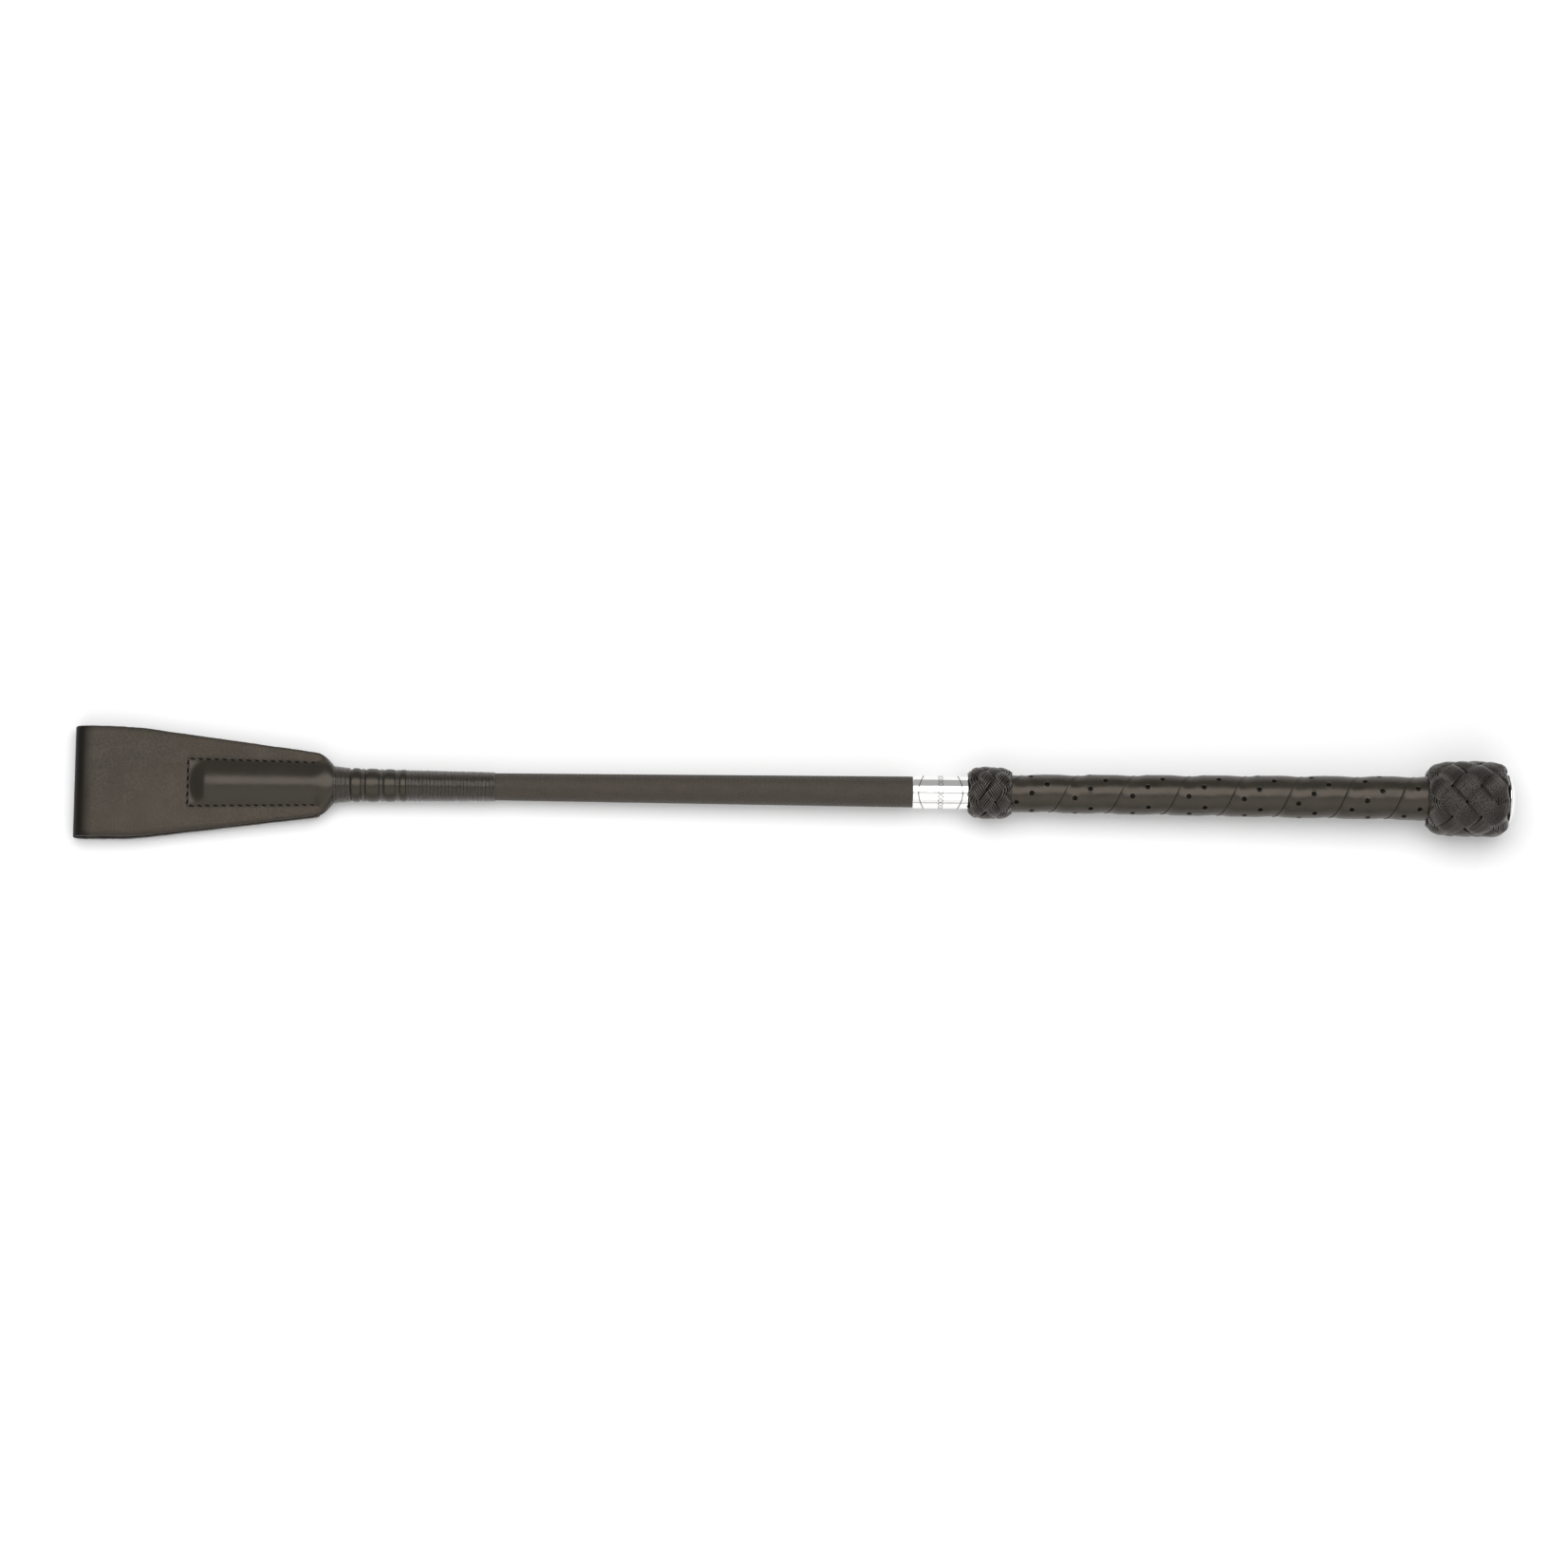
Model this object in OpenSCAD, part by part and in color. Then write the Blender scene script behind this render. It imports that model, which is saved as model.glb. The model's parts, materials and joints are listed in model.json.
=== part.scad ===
// Riding crop: a covered fibreglass rod with a folded leather flapper at one end
// and a leather grip, two woven knots and a domed metal cap at the other.
// The rod lies along X, with the flapper at -X and the cap at +X. The flapper lies
// flat in the XY plane. The origin is at the middle of the metal collar.

/* [Flapper] */
// Width of the flapper at its fold
flapper_w = 46.2; // [40:0.2:52]
// Thickness of the flapper's leather
leather_t = 2.6; // [2:0.1:3]
// Outer radius of the fold at the flapper's free end
fold_r = 4.7; // [4:0.1:5.5]
// Length of the flapper that swings beyond the stitched pocket
loop_len = 43; // [35:1:55]
// Length of the pocket that holds the rod's tip
pocket_len = 65; // [60:1:75]
// Gap between the flapper's free end and its pocket, so that the hinge can turn
bend_gap = 0.3; // [0.2:0.1:0.6]

/* [Neck] */
// Length of the bound neck between the pocket and the shaft's whipping
neck_len = 30.5; // [30:0.5:34]
// Width across the neck where its binding starts
neck_w = 15.8; // [15:0.2:17]
// Height of the neck, which is pressed a little flat
neck_h = 13.2; // [13:0.1:13.6]
// Length of the shaft's own whipping
whipping_len = 37.1; // [30:0.5:45]

/* [Shaft] */
// Length of braid that shows between the whipping and the collar
shaft_len = 173.3; // [120:1:240]
// Taper of the braid's radius for each millimetre towards the flapper
braid_taper = 0.00467; // [0.003:0.0005:0.005]
// Thickness of the braided cover
braid_t = 0.6; // [0.5:0.1:0.8]
// Radius of the rod at its tip
rod_tip_r = 3; // [2.5:0.1:3.2]
// Radius of the rod at its butt
rod_butt_r = 4.4; // [4:0.1:4.6]

/* [Collar] */
// Length of the metal collar
collar_len = 23.1; // [18:0.5:30]
// Outer radius of the metal collar
collar_r = 6.9; // [6.8:0.1:7.2]
// Wall of the metal collar
collar_wall = 0.4; // [0.3:0.1:0.5]

/* [Grip] */
// Length of grip that shows between the two knots
grip_len = 172.8; // [140:1:200]
// Radius of the grip behind the front knot
grip_front_r = 7.75; // [7.6:0.05:8]
// Radius of the grip in front of the butt knot
grip_back_r = 9.2; // [9:0.05:9.4]
// Thickness of the grip's leather strip
wrap_t = 1.4; // [1.2:0.1:1.6]

/* [Knots and cap] */
// Length of the small front knot
front_knot_len = 18.1; // [16:0.5:22]
// Largest radius of the small front knot
front_knot_r = 11; // [10.6:0.1:11.6]
// Length of the large butt knot
butt_knot_len = 33.7; // [30:0.5:38]
// Largest radius of the large butt knot
butt_knot_r = 15.9; // [15.5:0.1:17]
// Thickness of the woven cord on both knots
cord_t = 2; // [1.6:0.1:2.2]
// Radius of the domed end cap
cap_r = 10.3; // [9.8:0.1:10.8]
// How far the cap's crown stands beyond its rim
cap_dome = 2.4; // [2:0.1:3]

/* [Hidden] */
$fn = 96;

// Stations along X, counted outwards from the collar
collar_x = collar_len / 2;
whipping_x1 = -collar_x - shaft_len;
whipping_x0 = whipping_x1 - whipping_len;
neck_x = whipping_x0 - neck_len;
hinge_x = neck_x - pocket_len;
fold_x = hinge_x - loop_len;
knot_x1 = collar_x + front_knot_len;
grip_x1 = knot_x1 + grip_len;
butt_x1 = grip_x1 + butt_knot_len;
cap_x1 = butt_x1 + 0.8 + cap_dome;

// The rod, its tip and what is wound on it
cap_nose = 3.4;
tip_x = hinge_x + 8.4;
rod_x0 = tip_x + cap_nose + 1.5;
rod_x1 = butt_x1 - 6;
tip_cap_t = 0.9;
tip_cap_len = 10;
cover_x0 = neck_x + 5.5;
nail_r = 1.1;
nail_len = 22;

// The flapper's outline, seen from above
shoulder_r = 7;
shoulder_x = neck_x - 7.2;
parallel_len = 18;
taper = 0.122;
pocket_x0 = hinge_x + leather_t + bend_gap;
ridge_r = 5.8;

// The neck: thread, leather bulges and the three rings that part them
thread_t = 0.5;
neck_thread_len = 7.3;
ring_from = [11.6, 19.3, 26];
ring_w = 1.5;
ring_seat_r = 6.3;
bulge_r0 = 7.1;
bulge_r1 = 6.6;
tail_len = 17;

// Stitches round the pocket
stitch_len = 2.3;
stitch_w = 0.9;
stitch_h = 0.45;
stitch_pitch = 3.35;
stitch_slant = 12;
side_stitches = 16;
cross_stitches = 6;
stitch_y0 = 9.9;
stitch_y1 = 8.9;
seam_x = pocket_x0 + 1.4;

// The grip's hidden parts
wrap_x0 = collar_x + 2;
wrap_x1 = grip_x1 + 4;
tape_t = 0.35;
tape_x1 = wrap_x0 + 4;
core_x1 = knot_x1 - 2.5;

function rod_r(x) = rod_tip_r + (rod_butt_r - rod_tip_r) * (x - rod_x0) / (rod_x1 - rod_x0);
function braid_r(x) = collar_r - collar_wall - braid_taper * max(0, -collar_x - x);
function wrap_r(x) = grip_front_r + (grip_back_r - grip_front_r) * (x - knot_x1) / grip_len;
function bulge_r(x) = bulge_r0 + (bulge_r1 - bulge_r0) * (x - neck_x - neck_thread_len)
    / (neck_len - neck_thread_len);
function half_w(x) = flapper_w / 2 - taper * max(0, x - fold_x - parallel_len);
function backwards(points) = [for (i = [len(points) - 1:-1:0]) points[i]];
function arc(cx, cy, r, from, to, steps) = [
    for (i = [0:steps])
        let (a = from + (to - from) * i / steps)
        [cx + r * cos(a), cy + r * sin(a)]
];
// Outline of a woven knot as [radius, x]: full at the middle, rounded off to both ends
function barrel(x0, x1, end_r, mid_r, front_power, back_power) = [
    for (i = [-10:10])
        let (u = sin(9 * i))
        let (p = u < 0 ? front_power : back_power)
        [end_r + (mid_r - end_r) * pow(1 - pow(abs(u), p), 0.6), (x0 + x1) / 2 + u * (x1 - x0) / 2]
];

// A turned piece round the X axis from points given as [radius, x]
module turned(points) {
    rotate([0, 90, 0]) rotate_extrude() polygon(points);
}

// A turned sleeve between an outer and an inner outline
module turned_sleeve(outer, inner) {
    turned(concat(outer, backwards(inner)));
}

// Keeps what is between x0 and x1 and between the heights z0 and z1
module between(x0, x1, z0, z1) {
    intersection() {
        children();
        translate([x0, -flapper_w, z0]) cube([x1 - x0, 2 * flapper_w, z1 - z0]);
    }
}

// The neck's height under its thread: the leather is pressed lower there than behind it
function leather_h() = neck_h / 2 - thread_t;

// One side of the strip's outline from x0 to the neck, with a rounded shoulder
function strip_side(x0) = concat(
    [[x0, half_w(x0)]],
    x0 < fold_x + parallel_len ? [[fold_x + parallel_len, flapper_w / 2]] : [],
    [[shoulder_x - 2, half_w(shoulder_x - 2)]],
    arc(shoulder_x, half_w(shoulder_x) - shoulder_r + 1.2, shoulder_r - 1.2, 80, 14, 6),
    [[neck_x, neck_w / 2]]
);

module strip_outline(x0) {
    upper = strip_side(x0);
    polygon(concat(upper, [for (p = backwards(upper)) [p[0], -p[1]]]));
}

// The tapering outline round two circles on the X axis, seen from the side
module teardrop(x0, r0, x1, r1) {
    lean = acos((r0 - r1) / (x1 - x0));
    polygon(concat(
        arc(x0, 0, r0, lean, 360 - lean, 32),
        r1 > 0 ? arc(x1, 0, r1, -lean, lean, 16) : [[x1, 0]]
    ));
}

// Outline of the moulded cap on the rod's tip, as [radius, x]
tip_cap_r = rod_r(rod_x0 + tip_cap_len) + tip_cap_t;
tip_cap_outline = concat(
    [for (p = arc(0, 0, 1, 90, 0, 6))
        [tip_cap_r * p[0], rod_x0 - 1.5 + cap_nose * (1 - p[1])]],
    [[tip_cap_r, rod_x0 + tip_cap_len]]
);

// Outline of the leather over the rod and round the neck, as [radius, x]
leather_outline = concat(
    [for (p = arc(0, 0, ridge_r, 90, 0, 8)) [p[0], tip_x - 1 + ridge_r - p[1]]],
    [
        [ridge_r + 0.2, shoulder_x],
        [neck_w / 2 - thread_t, neck_x],
        [bulge_r0 - thread_t, neck_x + neck_thread_len],
        [bulge_r0, neck_x + neck_thread_len]
    ],
    [for (f = ring_from, p = [[0, false], [0, true], [ring_w, true], [ring_w, false]])
        [p[1] ? ring_seat_r : bulge_r(neck_x + f + p[0]), neck_x + f + p[0]]],
    [
        [bulge_r1, whipping_x0],
        [bulge_r1 - thread_t, whipping_x0],
        [braid_r(whipping_x0 + tail_len), whipping_x0 + tail_len]
    ]
);

// The rod, its tip cap and its cover as closed solids, to be taken out of the leather
module rod_space() {
    turned(concat(tip_cap_outline, [[0, rod_x0 + tip_cap_len]]));
    turned([
        [0, rod_x0 + 1], [rod_r(rod_x0 + 1), rod_x0 + 1],
        [rod_r(cover_x0), cover_x0], [0, cover_x0]
    ]);
    turned([
        [0, cover_x0], [braid_r(cover_x0), cover_x0],
        [braid_r(whipping_x1), whipping_x1], [0, whipping_x1]
    ]);
}

// Half of the pocket: a flat leaf with a moulded ridge and a tail round the neck
module pocket_leaf() {
    difference() {
        union() {
            linear_extrude(leather_t) strip_outline(pocket_x0);
            between(pocket_x0, neck_x + neck_thread_len, 0, leather_h()) leather_over_rod();
            between(neck_x + neck_thread_len, whipping_x1, 0, neck_h / 2) leather_over_rod();
        }
        rod_space();
    }
}

module leather_over_rod() {
    turned(concat(leather_outline, [[0, whipping_x0 + tail_len]]));
}

module core_rod() {
    color("ivory") turned([
        [0, rod_x0], [rod_r(rod_x0), rod_x0], [rod_r(rod_x1), rod_x1],
        [nail_r, rod_x1], [nail_r, butt_x1 - nail_len], [0, butt_x1 - nail_len]
    ]);
}

module rod_tip_cap() {
    color("dimgray") turned_sleeve(
        tip_cap_outline,
        [
            [0, rod_x0], [rod_r(rod_x0), rod_x0],
            [rod_r(rod_x0 + tip_cap_len), rod_x0 + tip_cap_len]
        ]
    );
}

module shaft_lapping() {
    color("dimgray") turned_sleeve(
        [for (x = [cover_x0, -collar_x, collar_x]) [braid_r(x) - braid_t, x]],
        [for (x = [cover_x0, collar_x]) [rod_r(x), x]]
    );
}

module shaft_braid() {
    color([0.1, 0.1, 0.1]) turned_sleeve(
        [for (x = [cover_x0, -collar_x, collar_x]) [braid_r(x), x]],
        [for (x = [cover_x0, -collar_x, collar_x]) [braid_r(x) - braid_t, x]]
    );
}

// The free end of the flapper: the strip folded back on itself, open at both sides
module flapper_loop() {
    color([0.11, 0.1, 0.09]) intersection() {
        translate([0, flapper_w, 0]) rotate([90, 0, 0]) linear_extrude(2 * flapper_w)
            difference() {
                teardrop(fold_x + fold_r, fold_r, hinge_x, leather_t);
                teardrop(fold_x + fold_r, fold_r - leather_t, hinge_x, 0);
            }
        translate([0, 0, -2 * fold_r]) linear_extrude(4 * fold_r) strip_outline(fold_x);
    }
}

module flapper_upper_leaf() {
    color([0.11, 0.1, 0.09]) pocket_leaf();
}

module flapper_lower_leaf() {
    color([0.11, 0.1, 0.09]) mirror([0, 0, 1]) pocket_leaf();
}

// One stitch lying on the leather, with its place given by its centre
module stitch(x, y, turn) {
    translate([x, y, leather_t + stitch_h / 2]) rotate([0, 0, turn])
        cube([stitch_len, stitch_w, stitch_h], center = true);
}

module stitch_rows() {
    slope = (stitch_y1 - stitch_y0) / (side_stitches * stitch_pitch);
    for (side = [-1, 1], i = [1:side_stitches])
        stitch(
            seam_x + i * stitch_pitch - stitch_pitch / 2,
            side * (stitch_y0 + slope * i * stitch_pitch),
            stitch_slant
        );
    for (i = [0:cross_stitches - 1])
        stitch(seam_x, (i - (cross_stitches - 1) / 2) * stitch_pitch, 90 + stitch_slant);
}

module pocket_stitching() {
    color([0.06, 0.06, 0.06]) {
        stitch_rows();
        mirror([0, 0, 1]) stitch_rows();
    }
}

// The neck from its start to the first bulge, as a closed solid, t smaller all round
module thread_seat(t) {
    x1 = neck_x + neck_thread_len;
    between(neck_x, x1, t - neck_h / 2, neck_h / 2 - t) turned([
        [0, neck_x], [neck_w / 2 - t, neck_x], [bulge_r0 - t, x1], [0, x1]
    ]);
}

module neck_whipping() {
    color([0.08, 0.08, 0.08]) difference() {
        thread_seat(0);
        thread_seat(thread_t);
    }
}

module neck_rings() {
    color([0.08, 0.08, 0.08]) for (f = ring_from) {
        x = neck_x + f;
        between(x, x + ring_w, -neck_h / 2, neck_h / 2) turned([
            [ring_seat_r, x], [bulge_r(x) + 0.2, x],
            [bulge_r(x) + 0.2, x + ring_w], [ring_seat_r, x + ring_w]
        ]);
    }
}

module shaft_whipping() {
    color([0.08, 0.08, 0.08]) turned_sleeve(
        [
            [bulge_r1, whipping_x0], [braid_r(whipping_x1) + thread_t, whipping_x1]
        ],
        [
            [bulge_r1 - thread_t, whipping_x0],
            [braid_r(whipping_x0 + tail_len), whipping_x0 + tail_len],
            [braid_r(whipping_x1), whipping_x1]
        ]
    );
}

module collar() {
    color("silver") rotate([0, 90, 0]) difference() {
        cylinder(r = collar_r, h = collar_len, center = true);
        cylinder(r = collar_r - collar_wall, h = collar_len + 1, center = true);
    }
}

module grip_padding() {
    color("dimgray") turned_sleeve(
        [for (x = [collar_x, wrap_x1]) [wrap_r(x) - wrap_t, x]],
        [for (x = [collar_x, wrap_x1]) [rod_r(x), x]]
    );
}

module grip_wrap() {
    color([0.1, 0.09, 0.08]) turned_sleeve(
        [for (x = [wrap_x0, wrap_x1]) [wrap_r(x), x]],
        [for (x = [wrap_x0, wrap_x1]) [wrap_r(x) - wrap_t, x]]
    );
}

// Two bands of tape that hold the ends of the grip's strip, under the knots
module grip_end_tapes() {
    color("gray") for (ends = [[wrap_x0, tape_x1], [grip_x1 + 0.5, wrap_x1]])
        turned_sleeve(
            [for (x = ends) [wrap_r(x) + tape_t, x]],
            [for (x = ends) [wrap_r(x), x]]
        );
}

front_knot_outline = barrel(collar_x, knot_x1, 8.2, front_knot_r, 2.6, 2.6);
front_core_outline = barrel(tape_x1, core_x1, grip_front_r + 0.3, front_knot_r - cord_t, 3, 3);

// The raised ring that gives the front knot its height, behind the tape
module front_knot_core() {
    color("dimgray") turned_sleeve(
        front_core_outline,
        [for (x = [tape_x1, core_x1]) [wrap_r(x), x]]
    );
}

module front_knot() {
    color([0.07, 0.07, 0.07]) turned_sleeve(
        front_knot_outline,
        concat(
            [
                [wrap_r(collar_x), collar_x], [wrap_r(wrap_x0), wrap_x0],
                [wrap_r(wrap_x0) + tape_t, wrap_x0],
                [wrap_r(tape_x1) + tape_t, tape_x1]
            ],
            front_core_outline,
            [[wrap_r(core_x1), core_x1], [wrap_r(knot_x1), knot_x1]]
        )
    );
}

butt_core_outline = barrel(wrap_x1, butt_x1 - 0.6, grip_back_r + 0.8, butt_knot_r - cord_t, 2.4, 4);

module butt_core() {
    color("burlywood") turned_sleeve(
        butt_core_outline,
        [
            [rod_r(wrap_x1), wrap_x1], [rod_r(rod_x1), rod_x1],
            [nail_r, rod_x1], [nail_r, butt_x1 - 0.6]
        ]
    );
}

module butt_knot() {
    color([0.07, 0.07, 0.07]) turned_sleeve(
        barrel(grip_x1, butt_x1, grip_back_r + 1.8, butt_knot_r, 2.4, 4),
        concat(
            [
                [wrap_r(grip_x1), grip_x1], [wrap_r(grip_x1 + 0.5), grip_x1 + 0.5],
                [wrap_r(grip_x1 + 0.5) + tape_t, grip_x1 + 0.5],
                [wrap_r(wrap_x1) + tape_t, wrap_x1]
            ],
            butt_core_outline,
            [[nail_r, butt_x1 - 0.6], [nail_r, butt_x1]]
        )
    );
}

// The domed head of the cap, with a short straight rim
module end_cap() {
    sphere_r = (cap_r * cap_r + cap_dome * cap_dome) / (2 * cap_dome);
    half_angle = asin(cap_r / sphere_r);
    color("silver") turned(concat(
        [[0, butt_x1], [cap_r, butt_x1]],
        [for (p = arc(cap_x1 - sphere_r, 0, sphere_r, half_angle, 0, 8)) [p[1], p[0]]]
    ));
}

// The shank that holds the cap in the core and the rod
module cap_nail() {
    color("silver") translate([butt_x1 - nail_len, 0, 0]) rotate([0, 90, 0])
        cylinder(r = nail_r, h = nail_len);
}

core_rod();
rod_tip_cap();
shaft_lapping();
shaft_braid();
flapper_loop();
flapper_upper_leaf();
flapper_lower_leaf();
pocket_stitching();
neck_whipping();
neck_rings();
shaft_whipping();
collar();
grip_padding();
grip_wrap();
grip_end_tapes();
front_knot_core();
front_knot();
butt_core();
butt_knot();
end_cap();
cap_nail();
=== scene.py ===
import json
import math
from math import cos, pi, sin

import bpy
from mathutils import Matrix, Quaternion, Vector, noise


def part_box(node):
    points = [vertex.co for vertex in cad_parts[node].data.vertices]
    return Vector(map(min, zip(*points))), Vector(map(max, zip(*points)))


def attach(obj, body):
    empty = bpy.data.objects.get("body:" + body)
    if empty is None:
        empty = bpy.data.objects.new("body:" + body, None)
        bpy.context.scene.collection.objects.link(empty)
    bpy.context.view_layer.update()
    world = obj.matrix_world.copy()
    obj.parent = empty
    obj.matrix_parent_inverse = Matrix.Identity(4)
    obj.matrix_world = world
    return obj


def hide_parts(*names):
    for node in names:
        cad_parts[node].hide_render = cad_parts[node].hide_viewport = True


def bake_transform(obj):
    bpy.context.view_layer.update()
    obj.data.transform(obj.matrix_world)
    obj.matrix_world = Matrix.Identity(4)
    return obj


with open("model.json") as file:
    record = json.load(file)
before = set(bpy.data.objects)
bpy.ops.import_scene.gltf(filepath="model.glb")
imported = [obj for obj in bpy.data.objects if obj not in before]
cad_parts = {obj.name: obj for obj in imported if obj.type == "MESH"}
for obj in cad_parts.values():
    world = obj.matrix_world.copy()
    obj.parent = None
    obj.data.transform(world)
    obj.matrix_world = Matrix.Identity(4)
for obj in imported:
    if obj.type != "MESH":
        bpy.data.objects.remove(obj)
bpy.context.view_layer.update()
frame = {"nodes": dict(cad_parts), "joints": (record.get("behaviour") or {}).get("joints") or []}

mm = 0.001


# --- Leather strip ---------------------------------------------------------
# One piece of 2.6 mm black bridle leather, cut to a taper, folded back on itself at the
# free end and moulded wet over the rod's tip. Its two tails are bound round the neck.
# Only the grain side is smooth: the cut edges are raw and a little hairy.

hinge_x = frame["joints"][0]["pos_m"][0]
fold_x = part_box("flapper_loop")[0].x
half_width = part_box("flapper_loop")[1].y
fold_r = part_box("flapper_loop")[1].z
leather_t = 2.6 * mm
pocket_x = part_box("flapper_upper_leaf")[0].x
neck_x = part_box("neck_whipping")[0].x
bulge_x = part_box("neck_whipping")[1].x
neck_half_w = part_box("neck_whipping")[1].y
neck_half_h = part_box("neck_whipping")[1].z
whipping_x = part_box("shaft_whipping")[0].x
thread_t = 0.5 * mm
seam_x = pocket_x + 1.4 * mm
box_x1 = neck_x - 6.5 * mm
parallel_len, side_taper, shoulder_len = 24.5 * mm, 0.13, 7.6 * mm
seam_side, seam_side_taper = 9.9 * mm, 1.0 * mm
ridge_h, nose_len = 3.5 * mm, 7.2 * mm
groove_depth, groove_w = 0.3 * mm, 0.5 * mm
fold_swell = 1.9 * mm
edge_round = 0.3 * mm
ring_starts = [neck_x + start * mm for start in (11.6, 19.3, 26.0)]
ring_w = 1.5 * mm
nipped_r, bulge_r, neck_taper = 6.25 * mm, 7.15 * mm, 0.5 * mm


def pick(piece):
    """Makes one piece the only one selected, and the active one."""
    bpy.ops.object.select_all(action="DESELECT")
    piece.select_set(True)
    bpy.context.view_layer.objects.active = piece
    return piece


def smoothed(t):
    t = min(1.0, max(0.0, t))
    return t * t * (3 - 2 * t)


def added(kind, **settings):
    """A new primitive of bpy.ops.mesh, with nothing else selected."""
    bpy.ops.object.select_all(action="DESELECT")
    getattr(bpy.ops.mesh, f"primitive_{kind}_add")(**settings)
    return bpy.context.object


def modified(piece, kind, **settings):
    """Adds one modifier and applies it."""
    pick(piece)
    bpy.ops.object.modifier_add(type=kind)
    modifier = piece.modifiers[-1]
    for name, value in settings.items():
        setattr(modifier, name, value)
    bpy.ops.object.modifier_apply(modifier=modifier.name)
    return piece


def edited(piece, *steps):
    """Runs edit-mode operators on the whole of one piece."""
    pick(piece)
    bpy.ops.object.mode_set(mode="EDIT")
    for step in steps:
        bpy.ops.mesh.select_all(action="SELECT")
        step()
    bpy.ops.object.mode_set(mode="OBJECT")
    return piece


def outward():
    bpy.ops.mesh.normals_make_consistent(inside=False)


def welded():
    bpy.ops.mesh.remove_doubles(threshold=1e-6)


def capped():
    """Closes the open ends of threads."""
    bpy.ops.mesh.fill_holes(sides=8)


def completed(piece, name, body, slot, material, *nodes, angle=None):
    """Names and shades a finished piece, ties it to its body and hides the CAD nodes it replaces. The slot
    is not used.
    """
    piece.name = piece.data.name = name
    if material:
        piece.data.materials.clear()
        piece.data.materials.append(material)
    pick(piece)
    if angle is None:
        bpy.ops.object.shade_smooth()
    else:
        bpy.ops.object.shade_smooth_by_angle(angle=math.radians(angle))
    if body:
        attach(piece, body)
    if nodes:
        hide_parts(*nodes)
    return piece


class Finish:
    """A material built up from procedural patterns on the piece's own coordinates, in metres."""

    def __init__(self, name, colour, roughness, **sockets):
        self.material = bpy.data.materials.new(name)
        self.material.use_nodes = True
        self.tree = self.material.node_tree
        self.shader = self.tree.nodes["Principled BSDF"]
        self.place = self.new("ShaderNodeTexCoord").outputs["Object"]
        self.set(self.shader, "Base Color", (*colour, 1))
        self.set(self.shader, "Roughness", roughness)
        for socket, value in sockets.items():
            self.set(self.shader, socket.replace("_", " "), value)

    def new(self, kind, **settings):
        node = self.tree.nodes.new(kind)
        for name, value in settings.items():
            setattr(node, name, value)
        return node

    def set(self, node, socket, value):
        if isinstance(value, bpy.types.NodeSocket):
            self.tree.links.new(value, node.inputs[socket])
        else:
            node.inputs[socket].default_value = value

    def stretched(self, scale):
        node = self.new("ShaderNodeMapping")
        self.set(node, "Vector", self.place)
        self.set(node, "Scale", scale)
        return node.outputs["Vector"]

    def noise(self, size, detail=3.0, stretch=(1, 1, 1)):
        """Noise whose blotches are about size millimetres across."""
        node = self.new("ShaderNodeTexNoise")
        self.set(node, "Vector", self.stretched(stretch))
        self.set(node, "Scale", 1000 / size)
        self.set(node, "Detail", detail)
        return node.outputs["Fac"]

    def cells(self, size):
        """Grain whose cells are about size millimetres across."""
        node = self.new("ShaderNodeTexVoronoi", feature="SMOOTH_F1")
        self.set(node, "Vector", self.place)
        self.set(node, "Scale", 1000 / size)
        return node.outputs["Distance"]

    def range(self, value, low, high, to_low=0.0, to_high=1.0):
        node = self.new("ShaderNodeMapRange")
        for socket, amount in zip(
            ("Value", "From Min", "From Max", "To Min", "To Max"),
            (value, low, high, to_low, to_high),
        ):
            self.set(node, socket, amount)
        return node.outputs["Result"]

    def combined(self, a, b, kind="ADD"):
        node = self.new("ShaderNodeMath", operation=kind)
        self.set(node, 0, a)
        self.set(node, 1, b)
        return node.outputs["Value"]

    def blend(self, share, first, second):
        """Mixes two colours by a pattern."""
        node = self.new("ShaderNodeMix", data_type="RGBA")
        self.set(node, 0, share)
        for index, colour in ((6, first), (7, second)):
            value = colour if isinstance(colour, bpy.types.NodeSocket) else (*colour, 1)
            self.set(node, index, value)
        return node.outputs[2]

    def bumps(self, *heights):
        """Raises the surface by patterns given as (pattern, height in millimetres)."""
        normal = None
        for pattern, height in heights:
            node = self.new("ShaderNodeBump")
            self.set(node, "Height", pattern)
            self.set(node, "Distance", height * mm)
            if normal:
                self.set(node, "Normal", normal)
            normal = node.outputs["Normal"]
        self.set(self.shader, "Normal", normal)


def half_w(x):
    """Half the strip's width at x: parallel by the fold, a straight taper, a round shoulder."""
    past = x - (fold_x + parallel_len)
    straight = half_width - side_taper * (past + math.hypot(past, 5 * mm)) / 2
    shoulder = neck_x - shoulder_len
    if x <= shoulder:
        return straight
    t = min(1.0, (x - shoulder) / shoulder_len)
    return neck_half_w + (straight - neck_half_w) * (1 - t**2.2)


def stitch_y(x):
    """Distance of the side stitching from the strip's middle."""
    return seam_side - seam_side_taper * max(0.0, x - seam_x) / (box_x1 - seam_x)


def mound(x, y):
    """Height of the leather arched over the rod from side seam to side seam, with a round nose."""
    across = abs(y) / (stitch_y(x) - 0.3 * mm)
    bow = 1 - (math.sqrt(1 + 2 * across**2) - 1) / (math.sqrt(3) - 1)
    arch = (bow + math.hypot(bow, 0.06)) / 2
    nose_x = seam_x + 7.6 * mm + 1.6 * mm * min(1.0, across) ** 2
    return ridge_h * arch * smoothed(1 - (nose_x - x) / nose_len)


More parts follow.
